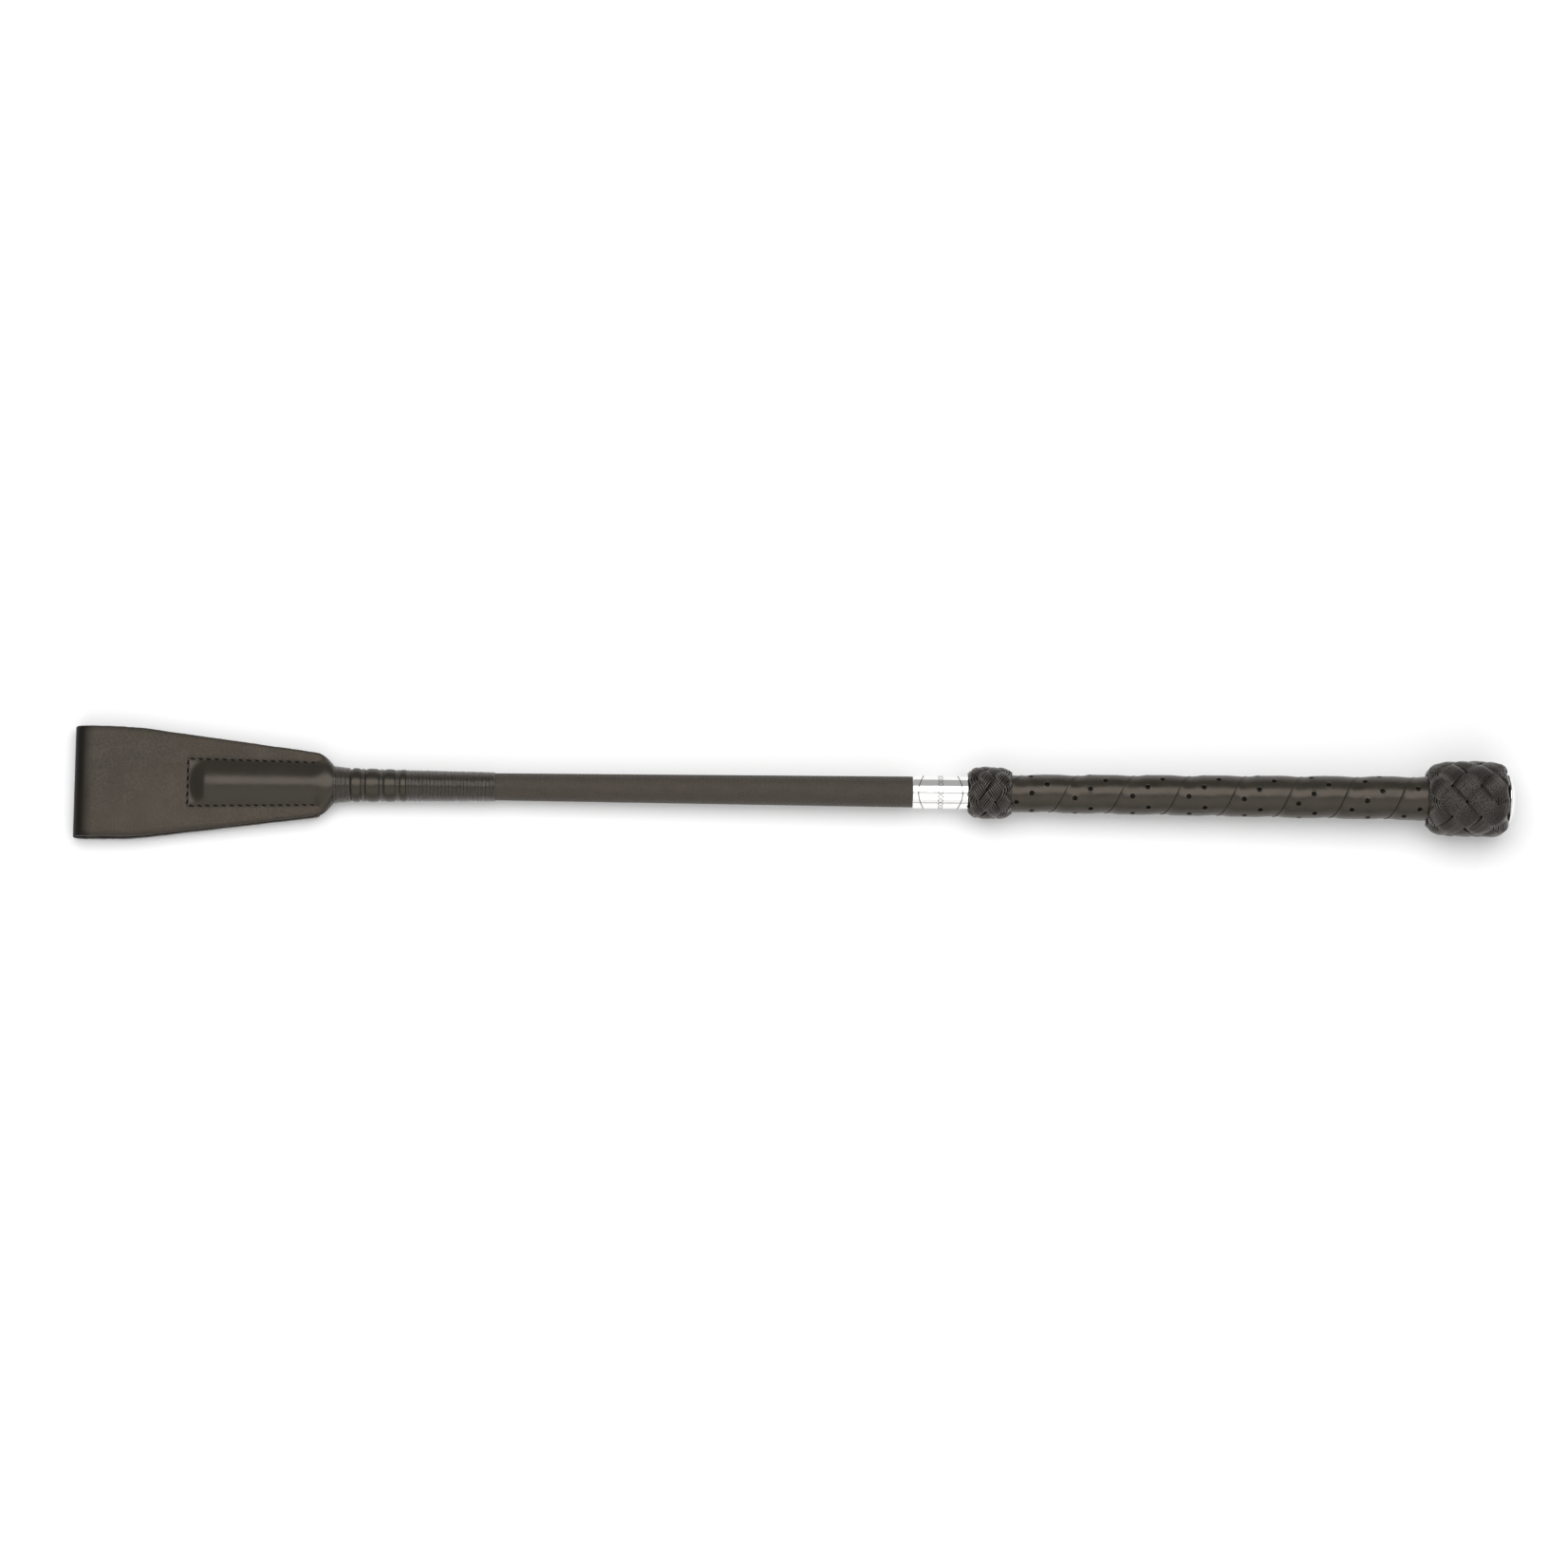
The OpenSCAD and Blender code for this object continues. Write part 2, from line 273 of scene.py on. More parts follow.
def stitch_groove(x, y):
    """How deep the stitches pull a line into the leather, from 0 to 1."""
    off_side, off_cross = abs(y) - stitch_y(x), x - seam_x
    ends = smoothed((off_cross + 1 * mm) / (1 * mm)) * smoothed((box_x1 + 2 * mm - x) / (2 * mm))
    side = math.exp(-((off_side / groove_w) ** 2)) * ends
    cross = math.exp(-((off_cross / groove_w) ** 2)) * smoothed(0.5 - off_side / mm)
    return max(side, cross)


def neck_size(x):
    """Half width and half height of the bound leather at x, bulging between the rings."""
    if x < bulge_x:
        t = (x - neck_x) / (bulge_x - neck_x)
        return neck_half_w - thread_t - 0.8 * mm * t, neck_half_h - thread_t
    edges = [bulge_x, *[e for start in ring_starts for e in (start, start + ring_w)], whipping_x]
    size = nipped_r
    for start, end in zip(edges[::2], edges[1::2]):
        if start < x < end:
            t = 2 * (x - start) / (end - start) - 1
            full = bulge_r - neck_taper * (x - bulge_x) / (whipping_x - bulge_x)
            size += (full - size) * (1 - abs(t) ** 3)
    if x > whipping_x:
        size = 6.0 * mm
    return size, min(size, neck_half_h)


def leaf_stations():
    """Stations along one leaf, from the fold's middle to the tail: (x, angle on the fold)."""
    fold_steps, centre = 12, fold_x + fold_r
    out = [(centre, pi / 2 * (2 - i / fold_steps)) for i in range(fold_steps)]
    spans = [
        (centre, seam_x - 1.2 * mm, 26), (seam_x - 1.2 * mm, seam_x + 1.2 * mm, 8),
        (seam_x + 1.2 * mm, neck_x - 9 * mm, 52), (neck_x - 9 * mm, bulge_x, 34),
        (bulge_x, whipping_x, 66), (whipping_x, whipping_x + 3 * mm, 3),
    ]
    for start, end, steps in spans:
        out += [(start + (end - start) * i / steps, None) for i in range(steps)]
    return out


def across_stations():
    """Stations across half the strip: (share inside the stitching, or beyond it, and distance)."""
    inside = [("in", i / 13) for i in range(13)]
    line = [("line", d * mm) for d in (-0.55, -0.28, 0, 0.28, 0.55)]
    outside = [("out", i / 6) for i in range(1, 6)]
    return inside + line + outside + [("edge", 0.35 * mm), ("edge", 0.0)]


def leaf_point(x, fold_angle, station, side, inner):
    """A point of the upper leaf, on its grain side or its flesh side, as (x, y, z)."""
    kind, value = station
    w = half_w(x)
    line = min(stitch_y(x), 0.62 * w)
    flat_y = {
        "in": value * (line - 0.8 * mm),
        "line": line + value,
        "out": line + 0.8 * mm + value * (w - line - 1.4 * mm),
        "edge": w - value,
    }[kind]
    at_edge = kind == "edge" and value == 0
    # the flesh sides swell towards each other where the leather is bent double
    swell = fold_swell * min(1.0, max(0.0, hinge_x - x) / (hinge_x - fold_x - fold_r))
    if fold_angle is not None:
        r = fold_r - (leather_t + swell if inner else 0)
        if at_edge and not inner:
            r -= edge_round
        return Vector((x + r * cos(fold_angle), side * flat_y, r * sin(fold_angle)))
    lift = (fold_r - leather_t) * max(0.0, hinge_x - x) / (hinge_x - fold_x - fold_r)
    z = leather_t + lift + mound(x, flat_y) - groove_depth * stitch_groove(x, flat_y)
    if at_edge:
        z -= edge_round
    k = smoothed((x - neck_x + 9 * mm) / (9 * mm))
    turn = pi / 2 * flat_y / w
    size_y, size_z = neck_size(max(x, neck_x))
    round_y = sin(turn) * (size_y if k == 1 else w)
    round_z = size_z * cos(turn)
    y, z = flat_y + (round_y - flat_y) * k, z + (round_z - z) * k
    if inner:
        z_in = max(0.03 * mm, z - (leather_t + swell - 0.03 * mm))
        shrink = (size_z - 1.4 * mm) / size_z
        y, z = y + (y * shrink - y) * k, z_in + (z * shrink - z_in) * k
    return Vector((x, side * y, z))


def sheet_of_leather(inner):
    """A grid laid along the folded strip, on one side of the leather."""
    leaf = leaf_stations()
    rows = [(s, -1) for s in reversed(leaf)] + [(s, 1) for s in leaf[1:]]
    half = across_stations()
    columns = [(s, -1) for s in reversed(half)] + [(s, 1) for s in half[1:]]
    grid = added("grid", x_subdivisions=len(rows) - 1, y_subdivisions=len(columns) - 1, size=1)
    for v in grid.data.vertices:
        i = round((v.co.x + 0.5) * (len(rows) - 1))
        j = round((v.co.y + 0.5) * (len(columns) - 1))
        (x, angle), leaf_side = rows[i]
        station, side = columns[j]
        p = leaf_point(x, angle, station, side, inner)
        p.z *= leaf_side
        # the lower leaf was cut a touch off the upper one, and both edges wander a little
        if x < neck_x - 6 * mm:
            share = abs(p.y) / half_w(x)
            p.y -= 0.25 * mm * (1 - leaf_side)
            wander = noise.noise(Vector((x * 120, side * 3 + leaf_side, 0)))
            rag = noise.noise(Vector((x * 1500, side * 5 + leaf_side, 2 if inner else 0)))
            p.y += side * share**6 * (0.14 * wander + 0.14 * rag) * mm
        v.co = p
    return grid


outer, inner = sheet_of_leather(False), sheet_of_leather(True)
edited(inner, bpy.ops.mesh.flip_normals)
faces = len(outer.data.polygons) * 2
pick(outer)
inner.select_set(True)
bpy.ops.object.join()
pick(outer)
bpy.ops.object.mode_set(mode="EDIT")
bpy.ops.mesh.select_all(action="DESELECT")
bpy.ops.mesh.select_mode(type="EDGE")
bpy.ops.mesh.select_non_manifold()
bpy.ops.mesh.bridge_edge_loops()
bpy.ops.object.mode_set(mode="OBJECT")
strip = outer
for polygon in strip.data.polygons[faces:]:
    polygon.material_index = 1

# loose fibres that stand out of the raw edges: one tapered hair, copied along both sides
hair = added("cone", vertices=3, radius1=0.05 * mm, radius2=0.012 * mm, depth=1 * mm)
hairs = []
golden = 0.618034
hair_count = 420
for i in range(hair_count):
    spot = 0.5 + 0.5 * noise.noise(Vector((i * 7.31, 0.5, 0)))
    lean = noise.noise(Vector((i * 3.17, 2.5, 0)))
    x = fold_x + 3 * mm + (neck_x - 12 * mm - fold_x) * (i * golden % 1)
    side, leaf_side = (1 if i % 3 == 0 else -1), (1 if i % 2 else -1)
    p = leaf_point(max(x, fold_x + fold_r), None, ("edge", 0.0), side, False)
    copy = hair.copy()
    copy.data = hair.data.copy()
    bpy.context.collection.objects.link(copy)
    copy.scale = (1, 1, 0.5 + 1.1 * spot**2)
    copy.rotation_euler = (-side * (pi / 2 - 0.5 * lean), 0, 2.2 * lean)
    copy.location = (
        p.x, p.y - 0.25 * mm * (1 - leaf_side), leaf_side * (p.z - 0.4 * mm - 1.6 * mm * spot)
    )
    hairs.append(copy)
bpy.data.objects.remove(hair)
pick(hairs[0])
for copy in hairs:
    copy.select_set(True)
bpy.ops.object.join()
bpy.ops.object.transform_apply()
hairs = hairs[0]
hair_faces = len(hairs.data.polygons)
pick(strip)
hairs.select_set(True)
bpy.ops.object.join()
for polygon in strip.data.polygons[-hair_faces:]:
    polygon.material_index = 1

# how far the leather was pressed at each point, with painted shade in the stitch grooves and round the
# fold, and the dark edges
pressing_and_painted_shade = strip.data.attributes.new("pressing_and_painted_shade", "FLOAT_COLOR", "POINT")
for v, point in zip(strip.data.vertices, pressing_and_painted_shade.data):
    x, y = v.co.x, abs(v.co.y)
    inside = smoothed((x - seam_x) / (1.2 * mm)) * smoothed((stitch_y(x) - y) / (1.0 * mm))
    pressed = max(0.75 * inside, smoothed((x - neck_x + 5 * mm) / (3 * mm)))
    edge = smoothed(1 - (half_w(x) - y) / (0.9 * mm)) if x < neck_x - 2 * mm else 0
    # painted shade in the stitch grooves, together with the leather's dark cut edges
    groove_shade_and_dark_edge = max(stitch_groove(x, y), 0.9 * edge)
    # painted shade: the leather is drawn darker and less shiny towards the fold, where it faces away from
    # the lamps
    fold_shade = 1 - smoothed((x - fold_x - 3.6 * mm) / (4.8 * mm))
    point.color = (pressed, groove_shade_and_dark_edge, fold_shade, 1)

warm = (1, 0.88, 0.75, 1)
hide = Finish(
    "bridle_leather", (0.02, 0.017, 0.013), 0.5, Specular_IOR_Level=0.5, Specular_Tint=warm
)
mask = hide.new("ShaderNodeSeparateColor")
# the attribute holds the pressing, painted shade in the grooves with the dark edges, and painted shade at
# the fold
hide.set(mask, "Color", hide.new("ShaderNodeAttribute", attribute_name="pressing_and_painted_shade").outputs["Color"])
pressed, groove_shade_and_dark_edge, fold_shade = (mask.outputs[i] for i in range(3))
mottle = hide.noise(9, 4)
speckle = hide.noise(0.8, 3)
patches = hide.noise(28, 2)
grain = hide.cells(0.75)
pores = hide.noise(0.4, 2)
tone = hide.blend(hide.range(speckle, 0.36, 0.64), (0.011, 0.009, 0.007), (0.036, 0.03, 0.022))
tone = hide.blend(hide.range(mottle, 0.35, 0.7, 0.0, 0.5), tone, (0.02, 0.0165, 0.0125))
tone = hide.blend(hide.range(patches, 0.4, 0.62, 0.0, 0.6), tone, (0.031, 0.0235, 0.0155))
tone = hide.blend(hide.range(pressed, 0, 0.75), tone, (0.012, 0.0105, 0.008))
# painted shade: the grooves and the fold are blended towards near black, along with the dark edges
dark = hide.combined(hide.combined(groove_shade_and_dark_edge, 0.8, "MULTIPLY"), fold_shade)
tone = hide.blend(dark, tone, (0.005, 0.0045, 0.004))
hide.set(hide.shader, "Base Color", tone)
rough = hide.range(mottle, 0.3, 0.7, 0.46, 0.56)
smooth_share = hide.combined(pressed, fold_shade, "MAXIMUM")
hide.set(hide.shader, "Roughness", hide.combined(rough, hide.combined(pressed, -0.24, "MULTIPLY")))
hide.set(hide.shader, "Specular IOR Level", hide.range(fold_shade, 0, 1, 0.5, 0.2))
flat = hide.range(smooth_share, 0, 0.7, 1, 0.12)
hide.bumps(
    (hide.combined(grain, flat, "MULTIPLY"), 0.15), (hide.combined(pores, flat, "MULTIPLY"), 0.1),
    (mottle, 0.15),
)

raw = Finish("raw_leather_edge", (0.035, 0.027, 0.021), 0.85, Specular_IOR_Level=0.2)
fibres = raw.noise(0.35, 4, stretch=(1, 1, 0.35))
raw.set(raw.shader, "Base Color", raw.blend(fibres, (0.02, 0.015, 0.012), (0.17, 0.13, 0.1)))
raw.bumps((fibres, 0.3))

completed(
    strip, "leather_strip", None, "flapper_leather", hide.material,
    "flapper_loop", "flapper_upper_leaf", "flapper_lower_leaf", angle=50,
)
strip.data.materials.append(raw.material)
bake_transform(strip)


# --- Pocket stitching --------------------------------------------------------
# Waxed black thread, sewn through both leaves with a slanted awl: a cross row that
# stops the rod's tip, and one row down each side. The same stitches show underneath.

stitch_pitch = 3.35 * mm
stitch_len, stitch_r = 3.0 * mm, 0.4 * mm
slant = math.radians(-15)

stitch = added("uv_sphere", segments=8, ring_count=8, radius=1)
for v in stitch.data.vertices:
    bow = 1 - v.co.z**2
    v.co = Vector((
        v.co.z * stitch_len / 2,
        v.co.y * stitch_r * (0.8 + 0.2 * bow),
        v.co.x * stitch_r * 0.7 - 0.35 * mm * (1 - bow) + 0.05 * mm,
    ))
spots = []
steps = int((box_x1 - seam_x) / stitch_pitch)
for i in range(steps):
    x = seam_x + (i + 0.55) * stitch_pitch
    for side in (-1, 1):
        spots.append((x, side * stitch_y(x), slant - side * 0.019))
for i in range(6):
    spots.append((seam_x, (i - 2.5) * stitch_pitch, pi / 2 + slant))
threads = []
for number, (x, y, turn) in enumerate(spots):
    z = leather_t + mound(x, y) - groove_depth
    for face in (1, -1):
        copy = stitch.copy()
        copy.data = stitch.data.copy()
        bpy.context.collection.objects.link(copy)
        wobble = 0.05 * sin(5.1 * number + face)
        copy.rotation_euler = (0 if face > 0 else pi, 0, face * (turn + wobble))
        copy.location = (x, y - 0.15 * mm * (1 - face), face * z)
        threads.append(copy)
bpy.data.objects.remove(stitch)
pick(threads[0])
for thread in threads:
    thread.select_set(True)
bpy.ops.object.join()
bpy.ops.object.transform_apply()
stitching = edited(threads[0], outward)

waxed = Finish("waxed_stitch_thread", (0.005, 0.0045, 0.004), 0.7, Specular_IOR_Level=0.1)
twist = waxed.noise(0.25, 2, stretch=(1, 0.4, 1))
waxed.set(waxed.shader, "Base Color", waxed.blend(twist, (0.0015, 0.0015, 0.001), (0.007, 0.006, 0.005)))
waxed.bumps((twist, 0.06))
completed(stitching, "pocket_stitches", "crop", "stitch_thread", waxed.material, "pocket_stitching")


# --- Thread bindings -----------------------------------------------------------
# Fine waxed thread, wound tight turn on turn: a short binding where the neck starts,
# three narrow rings that nip the leather in, and a long tapering whipping on the shaft.

braid_r0, braid_r1 = 5.69 * mm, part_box("shaft_braid")[1].y
whipping_x1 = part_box("shaft_whipping")[1].x


def wound(x0, x1, pitch, thread_r, size, steps=56):
    """A coil of thread from x0 to x1 on a core whose half width and height size(x) gives."""
    base_r, uneven = 6 * mm, 0.05 * mm
    coil = added("circle", vertices=6, radius=thread_r, location=(x0, 0, -base_r))
    edited(coil, lambda: bpy.ops.transform.rotate(
        value=pi / 2, orient_axis="X", orient_type="GLOBAL", center_override=(x0, 0, -base_r)
    ))
    bpy.ops.object.transform_apply()
    modified(
        coil, "SCREW", axis="X", angle=2 * pi, screw_offset=pitch,
        iterations=max(1, round((x1 - x0) / pitch)), steps=steps, render_steps=steps,
        use_merge_vertices=False,
    )
    for v in coil.data.vertices:
        r, turn = math.hypot(v.co.y, v.co.z), math.atan2(v.co.y, v.co.z)
        size_y, size_z = size(v.co.x)
        at = Vector((v.co.x * 2600, turn * 1.3, 0))
        shift = uneven * noise.noise(at)
        out = r - base_r + thread_r * 0.45 * noise.noise(at * 0.7)
        v.co = Vector((
            v.co.x + shift, (size_y + out) * sin(turn), (size_z + out) * cos(turn)
        ))
    return edited(coil, capped, outward)


def neck_seat(x):
    t = (x - neck_x) / (bulge_x - neck_x)
    return neck_half_w - 0.3 * mm - 0.8 * mm * t, neck_half_h - 0.3 * mm


def whipping_seat(x):
    t = max(0.0, x - whipping_x) / (whipping_x1 - whipping_x)
    r = 6.3 * mm + (braid_r0 + 0.2 * mm - 6.3 * mm) * t**0.8
    return r, r


def ring_seat(x):
    r = nipped_r + thread_t - neck_taper * (x - bulge_x) / (whipping_x - bulge_x)
    return r, min(r, neck_half_h)


silk = Finish(
    "waxed_binding_thread", (0.016, 0.015, 0.013), 0.3, Specular_IOR_Level=0.6, Specular_Tint=warm,
    Coat_Weight=0.6, Coat_Roughness=0.07,
)
lint = silk.noise(1.6, 3)
glints = silk.noise(0.5, 2, stretch=(1, 0.3, 0.3))
silk.set(silk.shader, "Base Color", silk.blend(lint, (0.007, 0.006, 0.005), (0.026, 0.0225, 0.018)))
silk.set(silk.shader, "Roughness", silk.range(glints, 0.35, 0.65, 0.2, 0.42))
silk.bumps((glints, 0.05))

neck_coil = wound(neck_x, bulge_x - 0.25 * mm, 0.5 * mm, 0.3 * mm, neck_seat)
completed(neck_coil, "neck_binding", "crop", "whipping_thread", silk.material, "neck_whipping")
rings = [
    wound(x + 0.1 * mm, x + ring_w, 0.47 * mm, 0.3 * mm, ring_seat, steps=64) for x in ring_starts
]
pick(rings[0])
for ring in rings:
    ring.select_set(True)
bpy.ops.object.join()
completed(rings[0], "neck_thread_rings", "crop", "whipping_thread", silk.material, "neck_rings")
long_coil = wound(whipping_x, whipping_x1 - 0.3 * mm, 0.53 * mm, 0.32 * mm, whipping_seat)
completed(long_coil, "shaft_binding", "crop", "whipping_thread", silk.material, "shaft_whipping")


# --- Shaft braid -----------------------------------------------------------------
# A maypole-braided cover of fine waxed black thread, 104 ends, drawn tight over the
# lapped rod. Each end passes over and under the ends of the other hand in turn.

braid_x0 = whipping_x1 - 2 * mm
collar_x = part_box("collar")[1].x
ends_each_way = 52
lay = 95 * mm


def braid_r(x):
    t = (x - whipping_x1) / (-collar_x - whipping_x1)
    return braid_r0 + (braid_r1 - braid_r0) * min(1.0, t)


def braided_half(hand):
    """All the ends that turn one way: one end is screwed along the shaft, then spun round it."""
    length = -collar_x + 1.5 * mm - braid_x0
    turns = length / lay
    crossings = turns * ends_each_way * 2
    steps = int(1.5 * crossings)
    width = 2 * pi * braid_r0 / ends_each_way
    end = added("circle", vertices=3, radius=1)
    pick(end)
    for v, (across, up) in zip(end.data.vertices, [(-0.72, -0.08), (0, 0.1), (0.72, -0.08)]):
        v.co = Vector((braid_x0, across * width, braid_r0 + up * width))
    modified(
        end, "SCREW", axis="X", angle=2 * pi * turns * hand, screw_offset=length,
        iterations=1, steps=steps, render_steps=steps, use_merge_vertices=False,
    )

    def spun():
        bpy.ops.mesh.spin(
            steps=ends_each_way - 1, angle=2 * pi * (1 - 1 / ends_each_way), dupli=True,
            center=(0, 0, 0), axis=(1, 0, 0),
        )

    edited(end, spun, capped, outward)
    for v in end.data.vertices:
        r, turn = math.hypot(v.co.y, v.co.z), math.atan2(v.co.y, v.co.z)
        phase = (v.co.x - braid_x0) / lay * ends_each_way
        ups = cos(2 * pi * phase) * hand
        swell = 0.032 * mm * ups + 0.02 * mm * noise.noise(Vector((v.co.x * 900, turn * 6, hand)))
        out = r - braid_r0 + braid_r(v.co.x) - 0.1 * mm + swell
        v.co = Vector((v.co.x, out * sin(turn), out * cos(turn)))
    return end


braid = braided_half(1)
other_hand = braided_half(-1)
pick(braid)
other_hand.select_set(True)
bpy.ops.object.join()

cover = Finish(
    "braided_thread", (0.03, 0.028, 0.025), 0.34, Specular_IOR_Level=0.5, Specular_Tint=warm
)
wear = cover.noise(3, 3, stretch=(0.35, 1, 1))
nap = cover.noise(0.35, 2)
cover.set(cover.shader, "Base Color", cover.blend(wear, (0.021, 0.0175, 0.014), (0.04, 0.034, 0.027)))
cover.set(cover.shader, "Roughness", cover.range(nap, 0.35, 0.65, 0.26, 0.42))
cover.bumps((nap, 0.06))
completed(braid, "braided_cover", "crop", "shaft_braid", cover.material, "shaft_braid")


# --- Collar --------------------------------------------------------------------------
# A short tube of thin sheet metal, nickel plated and polished, pushed over the end of
# the braid. It carries a plain engraved border and a plaited line, darkened in the cuts.

collar_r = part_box("collar")[1].y


def turned(outline, steps=128):
    """A closed body turned round the crop's axis from the corners of its section, (x, radius)."""
    piece = added("circle", vertices=len(outline), radius=1)
    for v, (x, r) in zip(piece.data.vertices, outline):
        v.co = Vector((x, 0, r))

    def spun():
        bpy.ops.mesh.spin(steps=steps, angle=2 * pi, center=(0, 0, 0), axis=(1, 0, 0))

    def without_axis():
        bpy.ops.mesh.delete_loose(use_verts=True, use_edges=True, use_faces=False)

    return edited(piece, spun, welded, without_axis, outward)


rim, wall = 0.22 * mm, 0.4 * mm
half_section = [(0.0, collar_r), (collar_x - rim, collar_r)]
half_section += [
    (collar_x - rim + rim * sin(a), collar_r - rim + rim * cos(a))
    for a in (pi / 8, pi / 4, 3 * pi / 8, pi / 2)
]
half_section += [(collar_x, collar_r - wall), (collar_x - 1 * mm, collar_r - wall - 0.02 * mm)]
tube = turned([(-x, r) for x, r in reversed(half_section)] + half_section[1:])

nickel = Finish("polished_nickel", (0.88, 0.875, 0.865), 0.06, Metallic=1.0)
smears = nickel.noise(6, 3, stretch=(0.6, 1, 1))
scratches = nickel.noise(0.6, 2, stretch=(0.08, 1, 1))
nickel.set(nickel.shader, "Roughness", nickel.range(smears, 0.3, 0.7, 0.04, 0.13))
nickel.bumps((scratches, 0.006))
completed(tube, "collar_tube", "crop", "polished_metal", nickel.material, "collar", angle=30)

# the darkened cuts: two bowed lines near the ends, and two waves that cross in the middle
darkened = Finish("darkened_cut", (0.02, 0.017, 0.015), 0.5, Metallic=0.6)
soot = darkened.noise(0.4, 2)
darkened.set(
    darkened.shader, "Base Color", darkened.blend(soot, (0.01, 0.009, 0.008), (0.07, 0.055, 0.045))
)


def engraved(centre, width, drift, waves):
    """A darkened line cut round the collar, which drifts along it in waves."""
    low, top = collar_r - 0.15 * mm, collar_r + 0.012 * mm
    line = turned([
        (-width / 2, low), (-width / 2, top), (width / 2, top), (width / 2, low)
    ], 192)
    for v in line.data.vertices:
        turn = math.atan2(v.co.y, v.co.z) + math.radians(8)
        v.co.x += centre + drift * cos(waves * turn)
    return line


cuts = [
    engraved(-8.1 * mm, 0.36 * mm, -1.1 * mm, 2), engraved(8.1 * mm, 0.36 * mm, 1.1 * mm, 2),
    engraved(0, 0.3 * mm, 0.95 * mm, 12), engraved(0, 0.3 * mm, -0.95 * mm, 12),
]
pick(cuts[0])
for line in cuts:
    line.select_set(True)
bpy.ops.object.join()
completed(cuts[0], "collar_engraving", "crop", "polished_metal", darkened.material)


# --- Woven knots -------------------------------------------------------------------------
# Two Turk's head knots, woven on the crop from fine round waxed cords laid side by side
# as one band. The band runs from end to end of the knot and back, over one, under one.

front_knot_x0, front_knot_x1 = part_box("front_knot")[0].x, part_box("front_knot")[1].x
butt_x0, butt_x1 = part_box("butt_knot")[0].x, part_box("butt_knot")[1].x


def meridian(outline, steps=240):
    """Points evenly spaced along a smooth curve through an outline of (x, radius)."""
    fine = []
    for i in range(len(outline) - 1):
        p0, p1 = outline[max(0, i - 1)], outline[i]
        p2, p3 = outline[i + 1], outline[min(len(outline) - 1, i + 2)]
        for k in range(24):
            t = k / 24
            fine.append(tuple(
                0.5 * (2 * b + (c - a) * t + (2 * a - 5 * b + 4 * c - d) * t**2
                       + (3 * b - a - 3 * c + d) * t**3)
                for a, b, c, d in zip(p0, p1, p2, p3)
            ))
    fine.append(outline[-1])
    lengths = [0.0]
    for a, b in zip(fine, fine[1:]):
        lengths.append(lengths[-1] + math.dist(a, b))
    even, j = [], 0
    for i in range(steps + 1):
        want = lengths[-1] * i / steps
        while j < len(fine) - 2 and lengths[j + 1] < want:
            j += 1
        t = (want - lengths[j]) / max(1e-12, lengths[j + 1] - lengths[j])
        even.append(tuple(a + (b - a) * t for a, b in zip(fine[j], fine[j + 1])))
    return even, lengths[-1]


def on_meridian(even, share):
    """Place and outward direction at a share of the way along a meridian."""
    n = len(even) - 1
    f = min(max(share, 0.0), 1.0) * n
    i = min(int(f), n - 1)
    a, b = even[i], even[i + 1]
    x, r = (a[0] + (b[0] - a[0]) * (f - i), a[1] + (b[1] - a[1]) * (f - i))
    c, d = even[max(0, i - 3)], even[min(n, i + 4)]
    dx, dr = d[0] - c[0], d[1] - c[1]
    size = math.hypot(dx, dr)
    return x, r, -dr / size, dx / size


